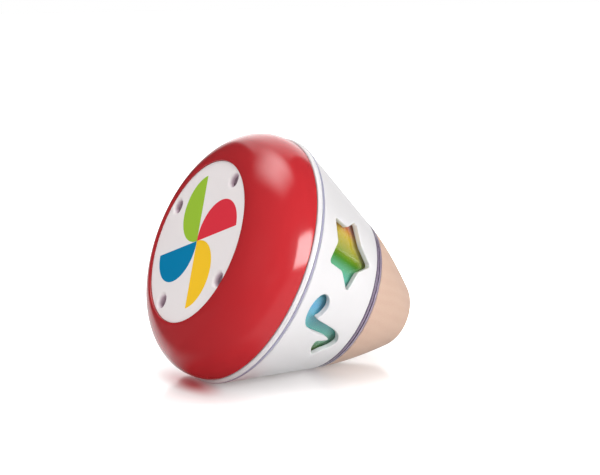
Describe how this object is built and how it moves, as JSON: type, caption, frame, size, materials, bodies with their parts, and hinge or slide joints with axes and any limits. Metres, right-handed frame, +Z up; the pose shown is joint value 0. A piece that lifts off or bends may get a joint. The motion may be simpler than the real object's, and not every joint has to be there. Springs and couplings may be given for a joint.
{
  "type": "music box",
  "caption": "rolling twist-to-wind music box for a baby: domed base, conical band with cut-out windows over a turning drum, turned wooden top, musical movement inside",
  "frame": {"origin": "on the surface that the toy lies on, under the middle of its outline", "axes": "+Z up; +X points level from the face disc to the wooden top, along the toy's own axis seen from above; +Y completes the right-hand frame. The toy's own axis dips towards +X."},
  "size_m": [0.1282, 0.1196, 0.1115],
  "materials": {
    "red_plastic": "glossy red moulded plastic",
    "pale_plastic": "pale grey-white satin plastic",
    "white_plastic": "satin white moulded plastic",
    "clear_plastic": "clear colourless plastic",
    "drum_plastic": "printed plastic in bands of red, yellow, green and blue",
    "beech": "light turned beech with a thin matt lacquer",
    "screw_steel": "bright plated steel screw",
    "zinc": "die-cast zinc",
    "spring_steel": "blued spring steel strip",
    "movement_steel": "pressed or turned steel",
    "comb_steel": "ground hardened steel",
    "movement_brass": "turned brass"
  },
  "bodies": {
    "shell": {"red_dome": "red_plastic", "face_disc": "pale_plastic", "chassis_plate": "white_plastic", "clear_cone": "clear_plastic", "white_sleeve": "white_plastic", "clear_collar": "clear_plastic", "disc_screw_1": "screw_steel", "disc_screw_2": "screw_steel", "disc_screw_3": "screw_steel", "disc_screw_4": "screw_steel", "cone_screw_1": "screw_steel", "cone_screw_2": "screw_steel", "cone_screw_3": "screw_steel", "cone_screw_4": "screw_steel", "collar_screw_1": "screw_steel", "collar_screw_2": "screw_steel", "collar_screw_3": "screw_steel", "bedplate": "zinc", "bed_screw_1": "screw_steel", "bed_screw_2": "screw_steel", "bed_screw_3": "screw_steel", "spring_housing": "movement_steel", "mainspring": "spring_steel", "housing_bridge": "movement_steel", "comb": "comb_steel", "comb_screw_1": "screw_steel", "comb_screw_2": "screw_steel", "bridge_screw_1": "screw_steel", "bridge_screw_2": "screw_steel", "governor_screw": "screw_steel", "governor_frame": "movement_steel"},
    "turning_top": {"wood_top": "beech", "colour_drum": "drum_plastic", "wood_screw_1": "screw_steel", "wood_screw_2": "screw_steel", "wood_screw_3": "screw_steel", "winding_arbor": "movement_steel", "crown_wheel": "movement_brass", "ratchet_wheel": "movement_steel", "ratchet_pawl": "movement_steel"},
    "cylinder": {"pinned_cylinder": "movement_brass", "cylinder_shaft": "movement_steel", "cylinder_pinion": "movement_brass", "cylinder_wheel": "movement_brass"},
    "second_arbor": {"second_arbor": "movement_steel", "second_pinion": "movement_brass", "worm_wheel": "movement_brass"},
    "air_brake": {"worm_shaft": "movement_steel", "air_brake_fan": "movement_brass"}
  },
  "joints": [
    {"name": "top_turn", "type": "hinge", "parent": "shell", "child": "turning_top", "pos_m": [-0.02573, 0, 0.0566], "axis": [-0.9161, 0, 0.4009], "range_deg": [0, 1620]},
    {"name": "cylinder_turn", "type": "hinge", "parent": "shell", "child": "cylinder", "pos_m": [-0.0359, 0, 0.06105], "axis": [-0.4009, 0, -0.9161], "range_deg": [0, 3702.86]},
    {"name": "second_arbor_turn", "type": "hinge", "parent": "shell", "child": "second_arbor", "pos_m": [-0.0359, 0.009, 0.06105], "axis": [-0.4009, 0, -0.9161], "range_deg": [-9627.43, 0]},
    {"name": "air_brake_spin", "type": "hinge", "parent": "shell", "child": "air_brake", "pos_m": [-0.04281, 0.001, 0.01758], "axis": [-0.9161, 0, 0.4009], "range_deg": [0, 231058.29]}
  ],
  "couplings": [
    {"joint": "cylinder_turn", "follows": "top_turn", "ratio": 2.2857},
    {"joint": "second_arbor_turn", "follows": "top_turn", "ratio": -5.9429},
    {"joint": "air_brake_spin", "follows": "top_turn", "ratio": 142.63}
  ]
}
